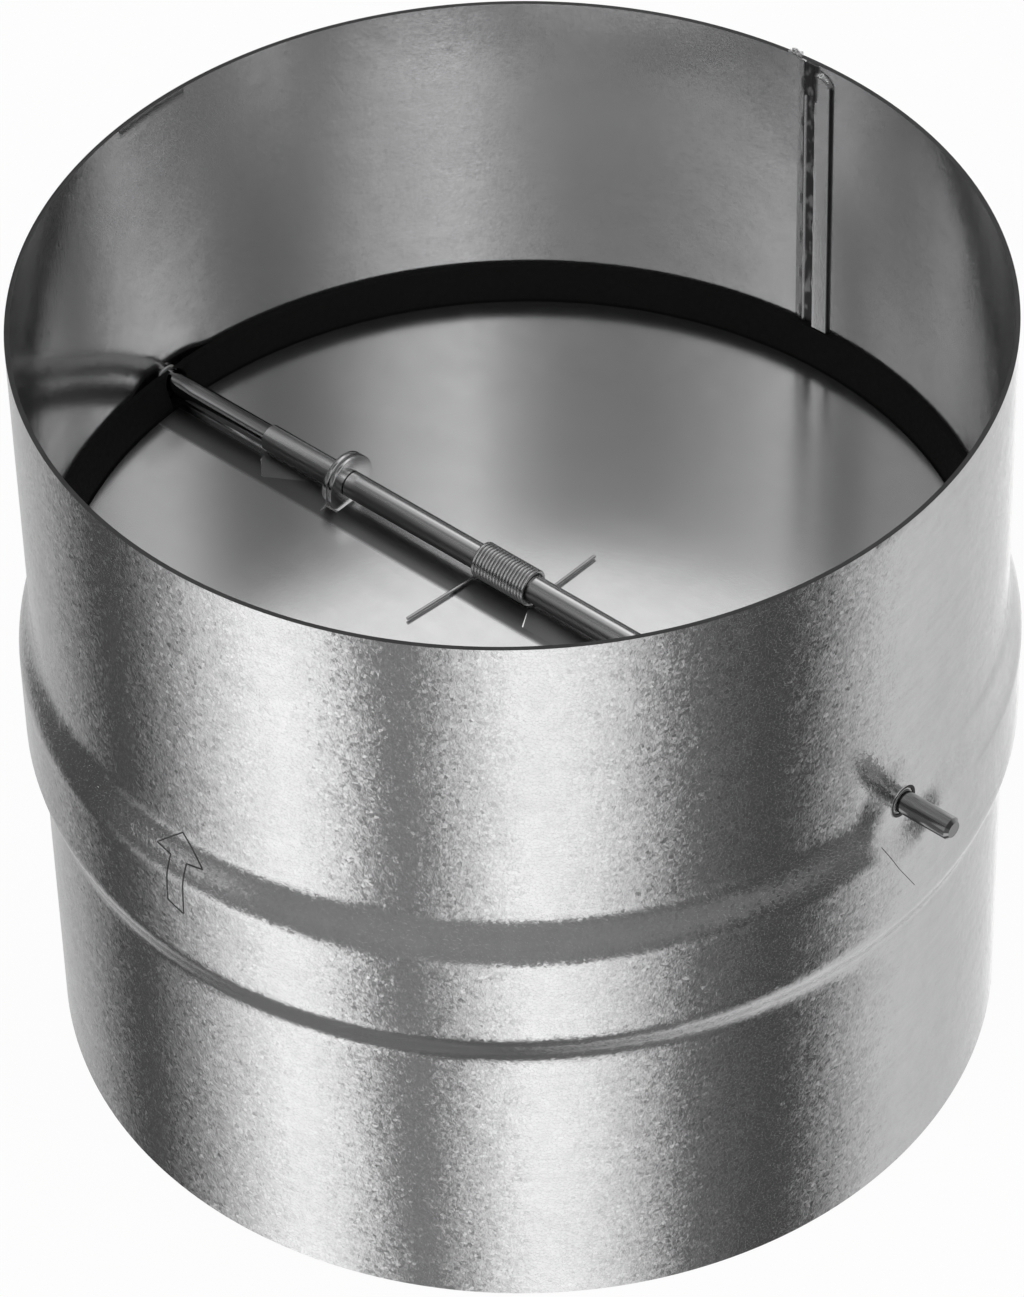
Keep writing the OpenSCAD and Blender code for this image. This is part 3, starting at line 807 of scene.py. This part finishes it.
def line_on_wall(name, corners, width, loop):
    """A thin line through corners given as (degrees round the duct, height in mm)."""
    ends = [(math.radians(a) * duct_r, z0 * mm) for a, z0 in corners]
    points = []
    for (x0, y0), (x1, y1) in zip(ends, ends[1:] + (ends[:1] if loop else [])):
        steps = max(1, round(math.hypot(x1 - x0, y1 - y0) / (0.3 * mm)))
        points += [(x0 + (x1 - x0) * i / steps, y0 + (y1 - y0) * i / steps, 0) for i in range(steps)]
    if not loop:
        points.append((*ends[-1], 0))
    count = len(points)
    start_mesh = bpy.data.meshes.new(name + " start")
    start_mesh.from_pydata(points, [(i, (i + 1) % count) for i in range(count if loop else count - 1)], [])
    made = shape_from(name, line_tree, burnt, {"Width": width}, extra=(thickness(0.03 * mm, 0),),
                      start_mesh=start_mesh)
    work = bmesh.new()
    work.from_mesh(made.data)
    bmesh.ops.recalc_face_normals(work, faces=work.faces)
    work.to_mesh(made.data)
    work.free()
    smooth_to(made, 40)
    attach(made, "casing")
    return made


arrow_line = 0.14 * mm
scratch_line = 0.05 * mm
line_on_wall("flow_arrow", [(-89.75, 53.9), (-93.25, 51.2), (-91.0, 50.9), (-91.2, 45.1), (-88.85, 44.4),
                            (-88.6, 50.9), (-86.3, 51.2)], arrow_line, True)
line_on_wall("stray_scratch", [(-4.4, 49.5), (-2.0, 45.4), (0.9, 41.2)], scratch_line, False)


# Seal
# A strip of black rubber that lines the upper part of the bead. The blades close on
# its ledge, and its upper edge is notched over the pin.
merge_gap = 0.001 * mm
seal_edge = 0.12 * mm


def softened(node, name, width, sharp, materials):
    """A merged copy of a carried-over solid with its edges taken off."""
    work = bmesh.new()
    work.from_mesh(nodes[node].data)
    bmesh.ops.remove_doubles(work, verts=work.verts, dist=merge_gap)
    bmesh.ops.dissolve_limit(work, angle_limit=math.radians(0.8), verts=work.verts, edges=work.edges)
    edges = [e for e in work.edges if e.is_manifold and e.calc_face_angle(0) > math.radians(sharp)]
    bmesh.ops.bevel(work, geom=edges, offset=width, segments=1, affect="EDGES", clamp_overlap=True)
    made = add_object(name, bpy.data.meshes.new(name))
    work.to_mesh(made.data)
    work.free()
    for material in materials:
        made.data.materials.append(material)
    smooth_to(made, sharp)
    return made


rubber, n, l = new_material("black rubber")
rubber_out = n.new("ShaderNodeOutputMaterial")
rubber_body = n.new("ShaderNodeBsdfPrincipled")
rubber_body.inputs["Base Color"].default_value = (0.006, 0.006, 0.006, 1)
rubber_body.inputs["Specular IOR Level"].default_value = 0.2
rubber_place = n.new("ShaderNodeTexCoord")
rubber_grain = n.new("ShaderNodeTexNoise")
rubber_grain.inputs["Scale"].default_value = 1800
rubber_grain.inputs["Detail"].default_value = 3
rubber_rough = n.new("ShaderNodeMapRange")
rubber_rough.inputs["To Min"].default_value = 0.55
rubber_rough.inputs["To Max"].default_value = 0.8
rubber_bump = n.new("ShaderNodeBump")
rubber_bump.inputs["Distance"].default_value = 0.00004
l.new(rubber_place.outputs["Object"], rubber_grain.inputs["Vector"])
l.new(rubber_grain.outputs["Fac"], rubber_rough.inputs["Value"])
l.new(rubber_rough.outputs["Result"], rubber_body.inputs["Roughness"])
l.new(rubber_grain.outputs["Fac"], rubber_bump.inputs["Height"])
l.new(rubber_bump.outputs[0], rubber_body.inputs["Normal"])
l.new(rubber_body.outputs[0], rubber_out.inputs[0])
strip = softened("seal", "seal_strip", seal_edge, 30, (rubber,))
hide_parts("seal")
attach(strip, "casing")


# Hinge pin
# A ground and polished steel rod that crosses the duct in its two bushes and stands out
# on both sides, with a small chamfer at each end.
pin_steel = metal("dark polished steel", 0.34, grain_size=0.15, grain_depth=0.3, wave_size=3.0,
                  wave_depth=1.5, streaks=(4000, 30, 30), streak_depth=0.25, tone_change=0.06,
                  roughness=0.1, roughness_change=0.05)
pin_line = [(-56.2, 0), (-56.2, 0.85), (-55.85, 1.2), (55.85, 1.2), (56.2, 0.85), (56.2, 0)]
pin = turned("cross_pin", pin_line, (pin_steel,))
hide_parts("hinge_pin")
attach(pin, "casing")


# Bushes
# Two short sleeves of natural nylon, one pressed into each pin hole, that the pin is
# held in.
nylon, n, l = new_material("natural nylon")
nylon_out = n.new("ShaderNodeOutputMaterial")
nylon_body = n.new("ShaderNodeBsdfPrincipled")
nylon_place = n.new("ShaderNodeTexCoord")
nylon_tone = noise_node(nylon.node_tree, nylon_place.outputs["Object"], 900, 2.0)
nylon_ramp = ramp_node(n, [(0.3, 0.6), (0.7, 0.7), (1, 0.72)])
nylon_body.inputs["Roughness"].default_value = 0.35
l.new(nylon_tone, nylon_ramp.inputs[0])
l.new(nylon_ramp.outputs[0], nylon_body.inputs["Base Color"])
l.new(nylon_body.outputs[0], nylon_out.inputs[0])
sleeve_line = [(49.4, 1.23), (49.4, 1.44), (49.43, 1.46), (49.76, 1.46), (49.81, 1.44), (49.83, 1.4),
               (49.83, 1.27), (49.8, 1.23)]
for end, way in (("left", -1), ("right", 1)):
    sleeve = turned("sleeve_" + end, [(px * way, radius) for px, radius in sleeve_line], (nylon,),
                    closed=True)
    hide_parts("bush_" + end)
    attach(sleeve, "casing")


# Retaining washers
# Two pairs of bright zinc-plated washers, pressed onto the pin, that keep the blades
# from sliding along it.
hinge_x = -1.5
washer_x = 22.2
washer_step = 0.35
washer_zinc = metal("bright zinc", 0.82, grain_size=0.2, grain_depth=1.5, wave_size=1.5, wave_depth=4.0,
                    streaks=(200, 200, 200), streak_depth=1.0, tone_change=0.1, roughness=0.16,
                    roughness_change=0.08)
washer_line = [(-0.3, 1.26), (-0.3, 3.08), (-0.27, 3.15), (-0.2, 3.19), (0, 3.2), (0.2, 3.19), (0.27, 3.15),
               (0.3, 3.08), (0.3, 1.26), (0.25, 1.23), (-0.25, 1.23)]
for end, way in (("left", -1), ("right", 1)):
    for place, step in (("outer", 1), ("inner", -1)):
        middle = hinge_x + way * (washer_x + step * washer_step)
        washer = turned("washer_ring_" + end + "_" + place,
                        [(middle + px, radius) for px, radius in washer_line], (washer_zinc,), closed=True)
        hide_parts("washer_" + end + "_" + place)
        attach(washer, "casing")


# Blades
# Two half discs of bright thin sheet. Each has an inner and an outer tab, raised from
# the sheet and rolled round the pin. Along the near side of the hinge, on the sheet and
# the front of the rolls, a band of painted shade stands in for the rolls' dark reflection
# and shadow.
blade_edge = 0.03 * mm


def hinge_painted_shade(tree):
    """Painted shade along the near side of the hinge, in place of the rolls' dark reflection and shadow:
    how dark it is by the distance from the hinge line.
    """
    spot = tree.nodes.new("ShaderNodeSeparateXYZ")
    tree.links.new(tree.nodes.new("ShaderNodeTexCoord").outputs["Object"], spot.inputs[0])
    band = math_node(tree, "SUBTRACT", smooth_step(tree, spot.outputs["Y"], -4.6 * mm, -3.9 * mm),
                     smooth_step(tree, spot.outputs["Y"], -1.3 * mm, -0.6 * mm))
    return math_node(tree, "MULTIPLY", band, 0.68)


# The hinge band darkens this sheet as painted shade, not as dirt.
bright_sheet = metal("bright rolled sheet", 0.82, stain_and_shade=hinge_painted_shade, grain_size=0.4, grain_depth=2.0,
                     wave_size=9.0, wave_depth=30.0, streaks=(30, 900, 30), streak_depth=0.8,
                     tone_change=0.06, roughness=0.2, roughness_change=0.08)
for blade in ("blade_near", "blade_far"):
    sheet_half = softened(blade, blade + "_sheet", blade_edge, 30, (bright_sheet,))
    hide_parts(blade)
    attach(sheet_half, blade)


# Spring
# One length of dark drawn wire, close-wound round the blades' rolls. Each half is made
# from its middle out and ends in a leg that lies on a blade.
wire_r = 0.19 * mm
coil_r = 1.8 * mm
half_turns = 8.5
half_length = 3.485 * mm
spring_wire = metal("spring wire", 0.7, grain_size=0.1, grain_depth=0.5, wave_size=1.0, wave_depth=1.0,
                    streaks=(300, 300, 300), streak_depth=0.5, tone_change=0.12, roughness=0.24,
                    roughness_change=0.08)
spring_tree, sp_in, sp_out = node_tree("half spring", "GeometryNodeTree", (
    ("Half turns", "Float", half_turns), ("Coil radius", "Float", coil_r),
    ("Half length", "Float", half_length), ("Leg", "Float", 8 * mm), ("Leg lean", "Float", 0.0),
    ("Wire radius", "Float", wire_r), ("Turned", "Float", 0.0),
    ("Middle x", "Float", hinge_x * mm), ("Middle z", "Float", pin_height),
    ("Coil steps", "Int", 408), ("Leg steps", "Int", 12), ("Wire sides", "Int", 12)),
    (("Geometry", "Geometry"),))
t = spring_tree
line = t.nodes.new("GeometryNodeMeshLine")
t.links.new(math_node(t, "ADD", math_node(t, "ADD", sp_in["Coil steps"], sp_in["Leg steps"]), 1.0),
            line.inputs["Count"])
index = t.nodes.new("GeometryNodeInputIndex").outputs[0]
wound = math_node(t, "MINIMUM", math_node(t, "DIVIDE", index, sp_in["Coil steps"]), 1.0)
past_coil = math_node(t, "MAXIMUM", math_node(t, "SUBTRACT", index, sp_in["Coil steps"]), 0.0)
out_leg = math_node(t, "MULTIPLY", math_node(t, "DIVIDE", past_coil, sp_in["Leg steps"]), sp_in["Leg"])
angle = math_node(t, "ADD", math.pi / 2, math_node(t, "MULTIPLY", wound, math_node(
    t, "MULTIPLY", sp_in["Half turns"], 2 * math.pi)))
c, si = math_node(t, "COSINE", angle), math_node(t, "SINE", angle)
along = math_node(t, "ADD", math_node(t, "MULTIPLY", wound, sp_in["Half length"]),
                  math_node(t, "MULTIPLY", out_leg, sp_in["Leg lean"]))
across = math_node(t, "SUBTRACT", math_node(t, "MULTIPLY", sp_in["Coil radius"], c),
                   math_node(t, "MULTIPLY", out_leg, si))
high = math_node(t, "ADD", math_node(t, "MULTIPLY", sp_in["Coil radius"], si),
                 math_node(t, "MULTIPLY", out_leg, c))
facing = math_node(t, "SUBTRACT", 1.0, math_node(t, "MULTIPLY", sp_in["Turned"], 2.0))
wire_spot = t.nodes.new("ShaderNodeCombineXYZ")
t.links.new(math_node(t, "ADD", sp_in["Middle x"], math_node(t, "MULTIPLY", along, facing)),
            wire_spot.inputs[0])
t.links.new(math_node(t, "MULTIPLY", across, facing), wire_spot.inputs[1])
t.links.new(math_node(t, "ADD", sp_in["Middle z"], high), wire_spot.inputs[2])
bend = t.nodes.new("GeometryNodeSetPosition")
t.links.new(line.outputs[0], bend.inputs["Geometry"])
t.links.new(wire_spot.outputs[0], bend.inputs["Position"])
to_curve = t.nodes.new("GeometryNodeMeshToCurve")
t.links.new(bend.outputs[0], to_curve.inputs[0])
ring = t.nodes.new("GeometryNodeCurvePrimitiveCircle")
t.links.new(sp_in["Wire sides"], ring.inputs["Resolution"])
t.links.new(sp_in["Wire radius"], ring.inputs["Radius"])
wire = t.nodes.new("GeometryNodeCurveToMesh")
wire.inputs["Fill Caps"].default_value = True
t.links.new(to_curve.outputs[0], wire.inputs["Curve"])
t.links.new(ring.outputs[0], wire.inputs["Profile Curve"])
end_tree(t, wire.outputs[0], sp_out[0], spring_wire)
for name, blade, leg, lean, turned_by in (("spring_far_half", "blade_far", 9.2 * mm, 0.02, 0.0),
                                          ("spring_near_half", "blade_near", 10.2 * mm, 0.11, 1.0)):
    half = shape_from(name, spring_tree, spring_wire, {"Leg": leg, "Leg lean": lean, "Turned": turned_by})
    half.data.set_sharp_from_angle(angle=math.radians(50))
    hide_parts("torsion_spring")
    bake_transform(half)
